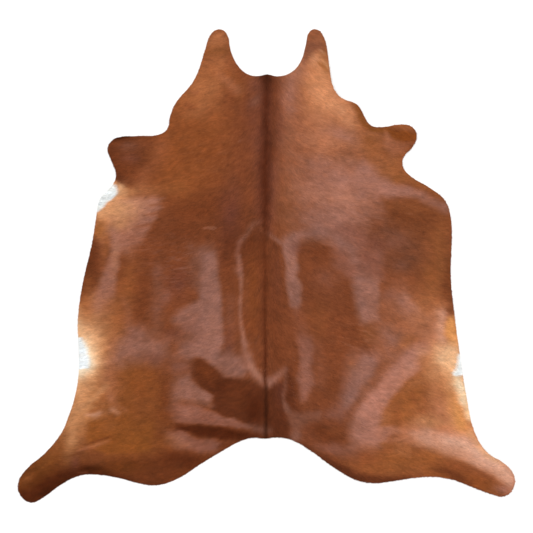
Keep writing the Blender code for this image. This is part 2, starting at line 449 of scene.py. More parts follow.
# right stifle, with a small painted sheen
patch("clay", 0.85, 60, (470, -260), (560, -255), (640, -265), (760, -270), (730, -350), (640, -380),
      (560, -430), (500, -450), (460, -440), (470, -400), (480, -360), (450, -330), (440, -280))
oval("copper", 0.5, 690, -300, 150, 90, -20)
oval("ash", 0.7, 555, -320, 130, 70, -40)
oval("auburn", 0.8, 462, -300, 90, 80, -60)
oval("golden", 0.8, 628, -345, 110, 70, 50)
stroke("haze", 0.6, 12, (512, -330, 3), (530, -360, 6), (540, -400, 4))
stroke("russet", 0.5, 10, (596, -368, 3), (606, -376, 7), (622, -382, 3))
# sheen right of the back
patch("ash", 0.92, 26, (58, 108, 42), (66, 88, 26), (76, 40), (82, 0), (86, -40), (90, -90), (96, -150, 22),
      (104, -182, 30), (140, -190, 35), (154, -165), (156, -110), (150, -72), (138, -50), (135, 10),
      (136, 55), (148, 92, 46), (150, 130, 46), (100, 132, 46))
oval("rose", 0.35, 110, 0, 140, 40, 88)
oval("plum", 0.4, 135, 80, 70, 60, 40)
stroke("smoke", 0.6, 12, (104, -160, 3), (122, -168, 6), (142, -162, 3))
stroke("haze", 0.45, 40, (135, -200, 14), (145, -250, 18), (160, -300, 18))
# sheen of the right loin
patch("haze", 0.9, 34, (140, -312, 48), (142, -370, 22), (148, -430, 22), (138, -500, 22), (146, -560, 26),
      (156, -602, 36), (176, -590), (198, -550), (212, -515), (206, -440), (210, -370), (200, -315, 48))
oval("rose", 0.55, 174, -450, 240, 50, 90)
stroke("haze", 0.35, 40, (230, -360, 10), (240, -460, 16), (236, -540, 12))
# between the sheens
stroke("bark", 0.9, 26, (100, -465, 9), (102, -530, 21), (106, -590, 23), (122, -625, 16), (140, -640, 8))
# right croup, a greyish painted sheen
patch("smoke", 0.85, 40, (78, -610, 20), (92, -660), (108, -720), (108, -790), (150, -790), (150, -726),
      (200, -702), (240, -692, 20), (240, -645, 16), (190, -648), (150, -652), (110, -640), (90, -606, 20))
oval("ash", 0.3, 130, -755, 90, 40, 60)
oval("haze", 0.35, 205, -665, 80, 40, 0)
# hollow by the tail, darkened with painted shade
oval("umber", 0.9, 262, -742, 250, 130, -24)
oval("auburn", 0.4, 310, -735, 80, 50, 0)
# right croup, low: a painted sheen
patch("haze", 0.8, 46, (215, -800), (300, -786), (372, -800), (430, -815), (470, -835), (400, -858),
      (320, -850), (250, -822))
# right thigh, inner and outer bands of painted sheen
patch("haze", 0.8, 60, (380, -372), (480, -378), (515, -420), (500, -480), (455, -545), (415, -600),
      (385, -645), (330, -690), (262, -668), (300, -620), (330, -560), (342, -480), (352, -410))
patch("ash", 0.85, 36, (384, -416, 60), (440, -396), (470, -408), (486, -446), (470, -488, 26),
      (446, -522, 26), (416, -562), (390, -602), (358, -634), (332, -642), (340, -590), (360, -540),
      (372, -490), (368, -446))
oval("rose", 0.4, 428, -462, 130, 70, 70)
stroke("auburn", 0.6, 30, (512, -430, 4), (488, -480, 10), (452, -530, 10), (418, -580, 8), (395, -620, 5))
patch("rose", 0.75, 60, (640, -345), (740, -335), (725, -400), (690, -450), (655, -484, 40),
      (602, -510, 40), (560, -565, 40), (530, -610, 40), (505, -660), (500, -700), (545, -740), (535, -790),
      (450, -835), (370, -815), (368, -700), (388, -650), (420, -590), (470, -530), (525, -470),
      (570, -410))
patch("rosy", 0.85, 34, (690, -352, 60), (690, -400, 50), (674, -450, 26), (652, -486, 20), (616, -512, 18),
      (598, -540, 18), (570, -566, 18), (546, -606, 20), (520, -652, 22), (502, -700, 34), (508, -750, 50),
      (496, -792, 40), (430, -796, 40), (396, -765, 26), (392, -700, 26), (405, -650, 26), (430, -607, 24),
      (468, -562, 24), (508, -515, 24), (553, -470, 30), (590, -424, 36), (625, -378, 50))
oval("shell", 0.3, 640, -440, 130, 60, 45)
stroke("rose", 0.6, 12, (640, -420, 3), (610, -440, 6), (590, -470, 4))
oval("rose", 0.6, 430, -740, 150, 90, 80)
# right thigh, brown middle, with streaks of painted sheen
oval("honey", 0.85, 645, -580, 230, 130, 55)
oval("honey", 0.85, 600, -680, 120, 110, 60)
oval("fawn", 0.6, 664, -512, 130, 60, 35)
stroke("rose", 0.75, 24, (515, -728, 10), (560, -728, 8), (605, -736, 8), (650, -745, 14))
stroke("blush", 0.6, 12, (560, -778, 3), (600, -762, 7), (638, -776, 7))
stroke("honey", 0.7, 14, (512, -792, 6), (556, -800, 8), (600, -786, 10), (640, -806, 7))
oval("rosy", 0.6, 550, -742, 90, 40, 10)
stroke("russet", 0.6, 14, (648, -560, 4), (654, -590, 7), (664, -610, 4))
stroke("russet", 0.7, 7, (672, -638, 2), (692, -646, 4), (712, -648, 2))
# right thigh, outer side
stroke("russet", 0.5, 16, (580, -620, 6), (578, -660, 9), (590, -700, 7))
stroke("russet", 0.4, 16, (700, -560, 6), (715, -590, 8), (706, -620, 5))
oval("fawn", 0.6, 528, -680, 90, 50, 70)
patch("fawn", 0.9, 70, (680, -372), (750, -390), (800, -480), (820, -560), (805, -620), (750, -605),
      (730, -540), (690, -480), (672, -420))
oval("shell", 0.5, 700, -382, 90, 60, 0)
oval("copper", 0.6, 770, -640, 160, 90, 80)
oval("wheat", 0.5, 748, -450, 150, 100, 80)
oval("amber", 0.9, 852, -670, 300, 90, -74)
oval("clay", 0.6, 785, -680, 60, 50, 0)
# right flank behind, with a stroke of painted sheen; cream and milk round the white
oval("copper", 0.95, 752, -295, 210, 130, 90)
stroke("peach", 0.6, 34, (772, -215, 10), (778, -290, 18), (780, -345, 20))
patch("amber", 0.95, 26, (798, -250, 30), (808, -232), (838, -222), (870, -330), (855, -362, 50),
      (812, -356, 50), (796, -310, 30))
oval("sand", 0.4, 838, -320, 60, 30, 90)
patch("wheat", 0.7, 70, (735, -345), (790, -345), (850, -345), (880, -420), (860, -500), (845, -560),
      (800, -545), (770, -490), (745, -440), (720, -390))
patch("cream", 0.7, 60, (770, -372, 90), (800, -352), (846, -356), (872, -400), (850, -450),
      (828, -474, 20), (804, -480), (780, -450, 70), (770, -415, 90))
oval("milk", 0.55, 842, -500, 100, 30, -78)
patch("wheat", 0.85, 44, (786, -455), (840, -485), (872, -492), (905, -600), (925, -720), (880, -640),
      (848, -575), (810, -525))
patch("cream", 0.9, 34, (822, -490), (872, -497), (905, -600), (920, -690), (900, -690), (870, -635),
      (846, -575), (826, -530))
oval("milk", 0.5, 848, -516, 70, 30, -70)
stroke("umber", 0.7, 14, (800, -188, 2), (816, -196, 5), (828, -206, 4))
# right shank: a broad painted sheen on top, and painted shade below it
patch("copper", 0.75, 70, (560, -725), (660, -695), (780, -712), (870, -745), (940, -800), (1050, -880),
      (1110, -930), (1090, -985), (1040, -955), (940, -895), (840, -845), (740, -820), (650, -805),
      (570, -790))
patch("shell", 0.85, 56, (655, -750, 70), (720, -735), (800, -748), (880, -752), (930, -790), (985, -850),
      (1050, -872), (1105, -930), (1095, -985), (1070, -975), (1040, -950), (996, -926), (955, -906, 34),
      (900, -874, 34), (840, -848, 34), (780, -828), (720, -806), (660, -790, 70))
stroke("peach", 1.0, 40, (800, -775, 12), (880, -797, 26), (940, -828, 28), (985, -862, 24),
       (1030, -893, 22), (1070, -925, 20), (1088, -955, 10))
oval("shell", 0.7, 715, -745, 130, 66, -8)
oval("tan", 0.7, 735, -690, 170, 64, 0)
stroke("sand", 0.8, 20, (905, -740, 6), (940, -800, 10), (990, -848, 9), (1045, -878, 4))
patch("sorrel", 0.9, 60, (740, -856), (860, -878), (930, -916), (1000, -950), (1040, -982), (1010, -1010),
      (960, -1015), (860, -990), (760, -955), (700, -930), (700, -880))
oval("russet", 0.6, 850, -890, 240, 60, -16)
stroke("bark", 0.85, 26, (750, -900, 4), (790, -912, 10), (840, -932, 12), (900, -962, 6))
stroke("bark", 0.7, 14, (820, -945, 3), (880, -972, 6), (950, -1000, 3))
stroke("russet", 0.5, 12, (930, -916, 4), (965, -932, 7), (1005, -948, 4))
oval("rosy", 0.8, 1048, -992, 90, 44, -10)
stroke("blush", 0.8, 16, (1066, -1012, 4), (1086, -990, 8), (1100, -955, 5))
# right buttock
oval("honey", 0.9, 570, -870, 420, 140, 4)
oval("honey", 0.8, 720, -855, 130, 90, 0)
oval("fawn", 0.5, 590, -825, 110, 50, 0)
stroke("fawn", 0.7, 10, (628, -808, 3), (634, -828, 6), (628, -850, 3))
stroke("russet", 0.5, 12, (655, -812, 4), (680, -818, 8), (700, -808, 4))
oval("russet", 0.7, 440, -850, 160, 80, -12)
patch("bark", 0.85, 40, (140, -778), (190, -806), (240, -834), (290, -862), (340, -890), (390, -914),
      (450, -934), (560, -941), (640, -933), (640, -970), (420, -1000), (160, -900))
oval("bark", 0.5, 330, -905, 180, 40, -28)
# left foreleg, with a small painted sheen
patch("umber", 0.75, 110, (-740, 560), (-560, 600), (-510, 560), (-530, 470), (-570, 410), (-620, 370),
      (-720, 380))
oval("smoke", 0.6, -605, 530, 120, 50, 0)
oval("mauve", 0.6, -600, 480, 100, 60, 0)
patch("peat", 0.85, 30, (-730, 520), (-704, 548), (-665, 562), (-610, 566), (-590, 590), (-720, 605))
oval("ink", 0.6, -668, 570, 110, 26, 8)
stroke("bark", 0.7, 27, (-705, 510, 6), (-690, 460, 8), (-670, 410, 12), (-650, 385, 14), (-615, 370, 8))
# left shoulder, with a band of painted sheen
stroke("brick", 0.5, 49, (-465, 540, 20), (-490, 470, 22), (-530, 415, 22), (-570, 375, 14))
oval("russet", 0.5, -540, 540, 120, 60, 0)
# left elbow and ribs
oval("fawn", 0.6, -545, 335, 200, 76, 0)
oval("honey", 0.6, -400, 350, 180, 120, 0)
oval("plum", 0.7, -160, 220, 340, 120, 86)
# left belly, with a broad pink painted sheen combed at its edge and a column of painted sheen
patch("wheat", 0.85, 30, (-690, 386), (-654, 370, 14), (-632, 358, 16), (-618, 338, 24), (-614, 316),
      (-600, 296, 50), (-600, 255, 60), (-640, 225, 60), (-700, 210, 60), (-780, 215), (-780, 300))
oval("tan", 0.6, -602, 330, 80, 44, -20)
oval("cream", 0.7, -680, 318, 120, 40, 48)
patch("rose", 0.75, 60, (-630, 285), (-560, 302), (-490, 303, 40), (-468, 275, 30), (-476, 240, 26),
      (-496, 205, 26), (-515, 170, 30), (-540, 130, 40), (-570, 95, 60), (-610, 50, 90), (-680, 70, 60),
      (-700, 150), (-690, 230))
oval("blush", 0.9, -585, 258, 200, 90, 5)
oval("shell", 0.4, -600, 278, 130, 40, 5)
oval("tan", 0.7, -650, 190, 170, 90, 25)
stroke("rose", 0.5, 8, (-530, 286, 4), (-490, 294, 6), (-455, 300, 2))
stroke("russet", 0.6, 8, (-520, 268, 2), (-480, 272, 4), (-450, 276, 4))
stroke("rose", 0.5, 8, (-530, 246, 4), (-485, 252, 6), (-462, 256, 2))
stroke("russet", 0.6, 8, (-545, 224, 2), (-505, 230, 4), (-470, 234, 4))
stroke("rose", 0.5, 8, (-560, 200, 4), (-515, 206, 6), (-488, 210, 2))
stroke("russet", 0.6, 9, (-580, 172, 2), (-540, 180, 5), (-500, 186, 4))
oval("wheat", 0.95, -668, 248, 230, 92, 8)
oval("ochre", 0.8, -748, 160, 90, 60, 70)
patch("umber", 0.9, 44, (-790, 150), (-755, 110), (-744, 60), (-738, 10), (-746, -40), (-760, -90),
      (-790, -130), (-825, -160), (-860, -170), (-830, 0))
oval("honey", 0.5, -795, -85, 120, 40, 75)
patch("rose", 0.85, 30, (-690, 170, 60), (-655, 130, 40), (-650, 60, 22), (-655, 0, 12), (-662, -50, 12),
      (-668, -100, 24), (-685, -150, 46), (-700, -200, 70), (-760, -210, 70), (-790, -180, 60),
      (-760, -130, 40), (-735, -60), (-715, 0), (-692, 50))
oval("tan", 0.3, -670, 40, 160, 40, 85)
oval("golden", 0.6, -712, 80, 150, 40, 80)
# left side, with columns of painted sheen
oval("honey", 0.6, -610, -90, 300, 110, 88)
stroke("umber", 0.7, 60, (-545, -60, 8), (-555, -150, 20), (-555, -240, 20))
stroke("clay", 0.8, 30, (-632, -150, 4), (-622, -190, 10), (-612, -240, 14), (-598, -280, 14))
oval("haze", 0.6, -590, -300, 110, 60, 60)
stroke("smoke", 0.6, 40, (-485, -10, 8), (-480, -60, 14), (-480, -130, 20), (-488, -200, 22),
       (-490, -270, 22))
oval("haze", 0.7, -450, -140, 90, 50, 50)
oval("haze", 0.6, -478, -32, 70, 50, 80)
oval("haze", 0.4, -484, -200, 90, 40, 80)
oval("haze", 0.4, -430, -330, 120, 60, 20)
# left ribs
oval("plum", 0.6, -385, -70, 180, 130, 90)
oval("russet", 0.5, -345, -120, 80, 60, 0)
oval("umber", 0.5, -380, 140, 220, 80, 0)
oval("bark", 0.55, -172, 90, 230, 100, 90)
# left side behind
oval("plum", 0.5, -400, -300, 120, 50, -10)
# left flank, with a patch of painted sheen; cream and milk round the white
oval("wheat", 0.4, -765, -290, 240, 110, 82)
oval("tan", 0.4, -705, -300, 200, 70, 88)
oval("golden", 0.5, -665, -260, 200, 70, 85)
oval("tawny", 0.5, -695, -180, 110, 90, 0)
patch("ash", 0.75, 90, (-650, -330), (-600, -290), (-560, -270), (-520, -300), (-470, -320), (-440, -340),
      (-430, -400), (-480, -430), (-560, -430), (-640, -440), (-700, -430), (-680, -380))
oval("rose", 0.5, -600, -365, 120, 60, 10)
oval("mauve", 0.5, -500, -410, 160, 70, 0)
oval("copper", 0.5, -690, -400, 200, 60, 85)
patch("cream", 0.85, 30, (-860, -200), (-842, -205), (-824, -245), (-810, -290), (-798, -330), (-860, -340))
patch("sand", 0.85, 80, (-840, -290), (-790, -285), (-740, -300), (-715, -370), (-715, -430), (-740, -485),
      (-790, -530), (-830, -580), (-880, -560), (-860, -400))
oval("golden", 0.85, -806, -178, 150, 100, 85)
patch("cream", 0.75, 50, (-830, -310), (-785, -315), (-748, -370), (-745, -430), (-765, -475), (-810, -510),
      (-860, -530))
patch("milk", 0.85, 34, (-830, -325), (-800, -345), (-775, -400), (-764, -440), (-780, -468), (-810, -485),
      (-850, -515), (-860, -500))
# left thigh, with pale and dark blots
oval("wheat", 0.7, -812, -600, 260, 100, 74)
oval("tan", 0.45, -760, -600, 200, 110, 70)
oval("blush", 0.35, -690, -590, 80, 40, -50)
oval("shell", 0.5, -690, -638, 54, 30, 30)
oval("shell", 0.6, -668, -652, 50, 26, -40)
oval("tan", 0.6, -715, -540, 70, 40, 60)
oval("golden", 0.7, -732, -588, 70, 50, 40)
stroke("shell", 0.7, 16, (-792, -660, 6), (-765, -664, 12), (-738, -650, 10))
stroke("sand", 0.5, 16, (-785, -600, 8), (-758, -585, 12), (-735, -560, 8))
stroke("copper", 0.6, 14, (-660, -620, 4), (-640, -635, 8), (-625, -650, 5))
stroke("golden", 0.9, 8, (-785, -648, 4), (-764, -643, 7), (-745, -632, 4))
stroke("tawny", 0.85, 11, (-765, -610, 4), (-740, -620, 8), (-728, -640, 6), (-724, -660, 3))
stroke("tawny", 0.85, 12, (-715, -600, 4), (-712, -625, 7), (-702, -650, 5))
patch("bronze", 0.9, 34, (-792, -700), (-770, -690, 16), (-735, -690, 20), (-690, -690), (-640, -670),
      (-600, -640), (-500, -700), (-520, -820), (-700, -840), (-800, -800), (-800, -740))
oval("tan", 0.5, -870, -680, 200, 50, 65)
oval("sorrel", 0.5, -560, -560, 240, 130, 85)
oval("auburn", 0.45, -560, -640, 220, 160, 85)
oval("tawny", 0.5, -700, -715, 120, 70, 10)
oval("smoke", 0.6, -410, -560, 150, 60, 80)
# left buttock
oval("umber", 0.6, -470, -760, 70, 60, 0)
patch("umber", 0.95, 70, (-480, -828), (-400, -824), (-260, -836), (-160, -800), (-160, -900),
      (-400, -1000), (-700, -980), (-780, -900), (-600, -860))
oval("peat", 0.6, -340, -868, 260, 70, -14)
stroke("bark", 0.7, 30, (-640, -945, 4), (-500, -978, 8), (-400, -980, 10), (-300, -930, 8),
       (-200, -850, 6))
oval("bronze", 0.8, -580, -790, 260, 110, 0)
# left barrel, under a broad painted sheen
patch("smoke", 0.6, 60, (-345, 95), (-240, 95), (-215, 60), (-215, -80), (-290, -140), (-330, -100),
      (-350, 0))
patch("ash", 0.92, 40, (-288, 78, 60), (-232, 62, 46), (-216, 20, 26), (-214, -60, 22), (-202, -110, 20),
      (-194, -170, 16), (-190, -260, 20), (-194, -340, 26), (-206, -395, 50), (-240, -440, 26),
      (-262, -420, 19), (-300, -404, 19), (-345, -413, 30), (-400, -400, 70), (-386, -350, 60),
      (-350, -310, 48), (-366, -275, 60), (-420, -246, 60), (-396, -208, 48), (-335, -168, 36),
      (-296, -142, 34), (-288, -60, 50), (-292, 20, 60))
oval("rose", 0.6, -235, -250, 340, 70, 88)
oval("rose", 0.6, -245, -140, 70, 40, 0)
stroke("ash", 0.6, 19, (-350, -410, 6), (-300, -405, 8), (-265, -425, 6))
oval("haze", 0.6, -352, -290, 170, 130, 80)
stroke("haze", 0.55, 54, (-155, -160, 12), (-160, -280, 22), (-165, -350, 20), (-160, -400, 20))
stroke("plum", 0.5, 24, (-172, -280, 8), (-170, -340, 12), (-165, -390, 8))
# left loin, a painted sheen
patch("ash", 0.8, 46, (-240, -380, 60), (-150, -385, 64), (-100, -410), (-90, -470), (-115, -500, 50),
      (-190, -490, 36), (-245, -440, 22))
oval("haze", 0.8, -380, -450, 150, 90, 0)
oval("ash", 0.6, -185, -430, 130, 60, -20)
# dark saddle
patch("bark", 0.88, 32, (-330, -475, 50), (-326, -440, 34), (-306, -416, 22), (-276, -420, 20),
      (-246, -444, 18), (-214, -474, 20), (-180, -494, 26), (-110, -506, 34), (-62, -514, 30), (-20, -534),
      (50, -530), (78, -505), (78, -600), (92, -680), (102, -790), (-40, -790), (-60, -714),
      (-110, -694, 12), (-160, -675, 12), (-210, -655, 14), (-250, -632, 20), (-242, -600, 20),
      (-230, -574, 12), (-262, -552, 12), (-300, -528, 24), (-322, -500, 40))
oval("umber", 0.95, -275, -470, 150, 80, -42)
oval("umber", 0.5, -130, -600, 160, 70, -20)
oval("peat", 0.5, -200, -535, 60, 60, 0)
oval("umber", 0.4, -120, -545, 110, 50, 0)
oval("peat", 0.8, -50, -640, 150, 100, 80)
oval("plum", 0.4, 60, -560, 120, 60, 90)
# painted sheen above the fold by the tail
patch("ash", 0.85, 36, (-420, -560, 90), (-390, -496, 60), (-350, -486), (-328, -514, 24), (-298, -540, 14),
      (-262, -560, 10), (-236, -574, 12), (-250, -602, 24), (-300, -604), (-350, -600), (-405, -600, 90))
oval("umber", 0.6, -446, -570, 260, 70, 88)
stroke("smoke", 0.8, 16, (-350, -606, 4), (-300, -607, 6), (-262, -614, 7), (-240, -622, 6))
# fold by the tail, a low ridge of the hide, with a painted highlight on its crest
patch("haze", 0.88, 25, (-425, -640, 90), (-400, -614, 46), (-330, -612, 30), (-285, -626, 22),
      (-225, -652, 14), (-160, -679, 10), (-105, -700, 10), (-66, -714), (-86, -723, 10), (-150, -712, 8),
      (-230, -705, 10), (-330, -699, 19), (-400, -690, 42))
stroke("ash", 0.4, 12, (-230, -668, 3), (-170, -684, 5), (-115, -702, 5), (-90, -712, 3))
oval("rose", 0.45, -355, -652, 110, 60, 0)
# its shadow
stroke("smoke", 0.95, 24, (-75, -714, 8), (-45, -722, 14), (-15, -728, 16), (15, -730, 8))
patch("peat", 0.88, 25, (-400, -735, 50), (-400, -706, 50), (-360, -702, 30), (-300, -708), (-220, -714),
      (-150, -722), (-90, -735), (-30, -755), (-60, -770), (-200, -772), (-225, -764), (-300, -756),
      (-345, -742))
oval("soot", 0.5, -130, -746, 120, 22, -8)
# left buttock, top: a painted sheen
patch("haze", 0.85, 34, (-430, -742, 64), (-380, -728, 32), (-345, -752, 22), (-300, -768, 22),
      (-235, -768, 26), (-205, -790), (-225, -826), (-280, -826), (-330, -818), (-410, -806, 40),
      (-440, -780, 64))
oval("rose", 0.6, -385, -772, 120, 46, -20)
oval("copper", 0.4, -365, -796, 70, 30, 0)
stroke("bark", 0.7, 16, (-218, -806, 3), (-176, -790, 9), (-125, -772, 9), (-75, -760, 5))
# left shank, with a small painted glint near its lower edge
oval("tan", 0.9, -868, -770, 220, 66, 83)
oval("tawny", 0.5, -935, -800, 150, 50, 50)
patch("peat", 0.85, 61, (-1120, -1010), (-1060, -985), (-1000, -950), (-930, -915), (-880, -890),
      (-800, -885), (-720, -895), (-640, -925), (-600, -960), (-900, -1000), (-1000, -1080), (-1120, -1080))
stroke("soot", 0.7, 30, (-1050, -1040, 6), (-985, -1010, 12), (-930, -970, 12), (-880, -935, 10))
stroke("soot", 0.8, 19, (-830, -902, 2), (-790, -900, 9), (-740, -905, 9), (-690, -915, 3))
oval("plum", 0.7, -852, -870, 80, 40, 80)
stroke("haze", 0.5, 6, (-832, -918, 1), (-812, -916, 3), (-798, -916, 1))
oval("tawny", 0.45, -1062, -945, 70, 40, 30)
oval("loam", 0.8, -640, -890, 260, 80, 0)
# its crease, a low ridge of the hide, with painted shadow lines beside it and a painted highlight along it
stroke("umber", 0.6, 9, (-875, -844, 3), (-840, -832, 4), (-790, -812, 2))
stroke("bark", 0.9, 8, (-805, -797, 1), (-770, -783, 3), (-730, -770, 3), (-690, -757, 1))
stroke("copper", 0.75, 13, (-835, -822, 1), (-790, -806, 6), (-748, -790, 7), (-700, -776, 3))
# dark stripe of the neck
stroke("plum", 0.85, 59, (4, 870, 44), (4, 760, 44), (4, 600, 40), (0, 450, 36), (-4, 320, 34),
       (-4, 230, 28), (-8, 150, 12))
stroke("umber", 0.75, 28, (34, 860, 14), (36, 720, 14), (34, 600, 14), (26, 480, 10))
stroke("peat", 0.9, 26, (0, 870, 22), (0, 760, 18), (-2, 600, 17), (-5, 450, 19), (-5, 330, 19),
       (-6, 240, 16), (-9, 180, 10), (-9, 130, 5))
# nape
stroke("soot", 0.6, 24, (-6, 850, 20), (2, 825, 16), (2, 790, 8))
oval("smoke", 0.6, -52, 735, 70, 50, 60)
oval("mauve", 0.6, -60, 800, 90, 60, 0)
# light oval on the back, a low ridge where the hair parts: its pale line is a painted highlight with
# painted glints, and the inside of its head is dark
oval("bark", 0.7, -72, 96, 230, 130, 88)
stroke("smoke", 0.75, 20, (-28, 192, 3), (-55, 182, 9), (-80, 160, 11), (-102, 130, 9), (-116, 105, 8))
stroke("haze", 0.75, 12, (-116, 108, 6), (-124, 80, 9), (-126, 40, 10), (-121, 0, 9), (-115, -40, 6))
stroke("rose", 0.8, 8, (-122, 40, 4), (-120, 0, 6), (-113, -50, 7), (-113, -110, 5), (-117, -160, 5),
       (-119, -210, 5), (-112, -260, 6), (-105, -310, 7), (-97, -350, 10))
stroke("shell", 0.25, 6, (-111, -40, 2), (-109, -80, 3), (-113, -120, 2), (-117, -180, 2), (-115, -230, 3),
       (-104, -300, 3), (-95, -350, 5), (-84, -410, 6))
oval("ash", 0.5, -128, -25, 60, 26, -50)
stroke("brick", 0.4, 27, (-92, -60, 4), (-95, -140, 8), (-92, -200, 4))
stroke("rose", 0.95, 20, (-98, -340, 9), (-88, -400, 18), (-72, -450, 22), (-45, -487, 17), (-20, -510, 13),
       (5, -519, 16), (30, -508, 13), (58, -480, 11), (80, -462, 6))
stroke("shell", 0.4, 14, (-66, -450, 4), (-45, -483, 8), (-18, -508, 8), (8, -519, 8))
# touches on the right thigh and flank, and inside the oval, with painted sheen on the thigh and at the end
# of the shoulder stripe
oval("sorrel", 0.45, 382, -432, 120, 56, 75)
oval("ash", 0.4, 464, -450, 170, 70, 75)
stroke("rose", 0.75, 26, (690, 292, 4), (735, 276, 11), (772, 263, 15), (806, 252, 10))
oval("rust", 0.35, -62, -110, 460, 70, 90)
oval("plum", 0.4, 36, -60, 320, 60, 90)
stroke("milk", 0.55, 24, (852, -478, 6), (858, -530, 9), (869, -605, 5))
oval("sand", 0.45, 815, -440, 150, 70, -80)
# touches on the left flank, the shanks and the left buttock, with a painted sheen on the right shank
stroke("sand", 0.6, 28, (-830, -185, 5), (-823, -240, 14), (-813, -292, 14))
oval("shell", 0.5, 762, -800, 170, 62, -22)
oval("bronze", 0.35, -419, -782, 100, 70, 0)
oval("loam", 0.3, -885, -849, 110, 70, 35)
# left barrel and both sides of the neck
oval("dusk", 0.55, -352, -316, 90, 70, 0)
stroke("plum", 0.3, 46, (-84, 740, 16), (-70, 640, 24), (-60, 540, 12))
stroke("plum", 0.25, 40, (56, 700, 12), (64, 610, 22), (60, 560, 8))
# right side of the light oval, with its pale lines of painted highlight
stroke("umber", 0.65, 46, (34, 100, 8), (30, -60, 12), (36, -250, 22), (46, -400, 22), (56, -448, 8))
oval("ash", 0.7, 12, -512, 60, 30, 0)
stroke("smoke", 0.8, 12, (84, -458, 3), (86, -500, 5), (77, -550, 5), (78, -600, 7), (94, -640, 12))
stroke("ash", 0.7, 11, (-6, 148, 3), (14, 138, 6), (36, 122, 7), (58, 104, 9))
# small painted glint at its head
stroke("copper", 0.8, 6, (-28, 172, 2), (-20, 158, 5), (-12, 142, 2))
# dark line down the back
stroke("bark", 0.95, 24, (-12, 180, 8), (-9, 80, 10), (-8, -60, 10), (-8, -200, 9), (-6, -350, 7),
       (-5, -520, 6))
stroke("peat", 0.8, 7, (-8, 110, 3), (-7, -200, 5), (-5, -350, 4), (-5, -520, 4))
stroke("umber", 0.6, 34, (-12, 130, 12), (-10, 0, 20), (-8, -140, 17), (-6, -300, 10))
stroke("ink", 0.75, 10, (-2, -535, 5), (-2, -640, 9), (-2, -700, 8), (-4, -770, 7))
# small pale lines: the first, on the left ribs, is a painted glint; the others are small scars
stroke("blush", 0.85, 5, (-278, 166, 1), (-255, 169, 3), (-236, 166, 4), (-225, 165, 1))
stroke("copper", 0.5, 5, (618, 231, 1), (636, 229, 3), (650, 232, 1))
stroke("fawn", 0.4, 5, (655, 238, 1), (672, 242, 2), (690, 248, 1))
stroke("rose", 0.5, 5, (-128, 548, 1), (-116, 556, 3), (-108, 552, 1))
stroke("rose", 0.4, 5, (-400, -15, 2), (-375, -8, 3), (-355, -12, 1))
# white of the belly and the flanks, with brighter strokes inside, painted as highlights
patch("white", 1.0, 5, (-690, 372), (-672, 354), (-659, 336), (-664, 318), (-684, 298), (-704, 284),
      (-722, 262), (-738, 249), (-756, 236), (-790, 250), (-760, 320), (-720, 365))
patch("white", 1.0, 5, (-860, -316), (-822, -320), (-812, -344), (-799, -368), (-790, -395), (-786, -425),
      (-787, -452), (-832, -461), (-870, -460))
patch("white", 1.0, 5, (890, -392), (852, -392), (850, -420), (845, -448), (838, -462), (826, -477),
      (834, -491), (850, -489), (890, -482))
stroke("snow", 0.45, 12, (-812, -335, 2), (-800, -375, 6), (-796, -420, 8), (-796, -450, 4))
stroke("snow", 0.45, 12, (-676, 350, 2), (-672, 325, 6), (-690, 302, 6), (-722, 276, 4))
stroke("snow", 0.4, 10, (848, -450, 2), (842, -472, 4), (848, -484, 3))
print(len(coatMarks), "marks")

# where single tufts catch the light or turn away from it, painted as streaks of light and shade: colour,
# strength and the oval they lie in
tufts = [
    ("ash", 0.42, (-400, 10, 300, 280, 90)),        # left ribs
    ("rosy", 0.3, (-610, 90, 240, 180, 0)),         # left flank
    ("copper", 0.25, (-260, 480, 260, 200, 0)),     # left neck
    ("umber", 0.35, (520, 190, 380, 220, -10)),     # right ribs
    ("bark", 0.25, (640, 470, 200, 120, 10)),       # right shoulder
    ("shell", 0.2, (430, -330, 300, 240, 60)),      # right thigh
]


def toLinear(colour):
    # the standard curve from a colour as shown to its linear value
    return np.where(colour <= 0.04045, colour / 12.92, ((colour + 0.055) / 1.055) ** 2.4)


def coatColour(x, y):
    # the coat's colour as it looks in daylight, with its sheen and the shade of its folds painted in, 0 to
    # 1, for places in millimetres
    tone = {name: np.array(value) / 255 for name, value in coatAndSheenColours.items()}
    flow = y + coatTones["lean"] * np.abs(x)
    combed = mottle("combed", x, flow)
    rippleX = mottle("rippleX", x, y)
    rippleY = mottle("rippleY", x, y)
    ripple, combX, combY = coatTones["softStray"]
    softX = x + mottle("driftX", x, y) + ripple * rippleX + combX * combed
    softY = y + mottle("driftY", x, y) + ripple * rippleY + combY * combed
    ripple, combX, combY = coatTones["sharpStray"]
    sharpX = x + ripple * rippleX + combX * combed
    sharpY = y + ripple * rippleY + combY * combed
    colour = np.empty(x.shape + (3,))
    colour[:] = tone["chestnut"]
    cloud = mottle("cloud", x, y)
    clouding, thickest = coatTones["clouding"]
    for coverOf, coatOrSheenColour, strength, *shape in coatMarks:
        sharp = len(shape) > 1 and shape[1] < coatTones["sharpEdge"]
        cover = coverOf(sharpX if sharp else softX, sharpY if sharp else softY, *shape) * strength
        cover = cover * (1 + clouding * cloud * (thickest - cover))
        colour += (tone[coatOrSheenColour] - colour) * np.clip(cover, 0, 1)[..., None]
    long, wide = coatTones["tuftSize"]
    for index, (coatOrSheenColour, strength, place) in enumerate(tufts):
        streaks = smoothNoise(x / long, flow / wide, coatTones["tuftSeed"] + index)
        cover = softStep(*coatTones["tuftEdge"], streaks) * washCover(x, y, place) * strength
        colour += (tone[coatOrSheenColour] - colour) * cover[..., None]
    grain = mottle("broad", x, y) + mottle("blots", x, y) + mottle("specks", x, y)
    grain += mottle("strands", x, flow)
    hue = mottle("hue", x, y)[..., None] * np.array(coatTones["hue"])
    colour *= 1 + grain[..., None] + hue
    return np.clip(colour, 0, 1)


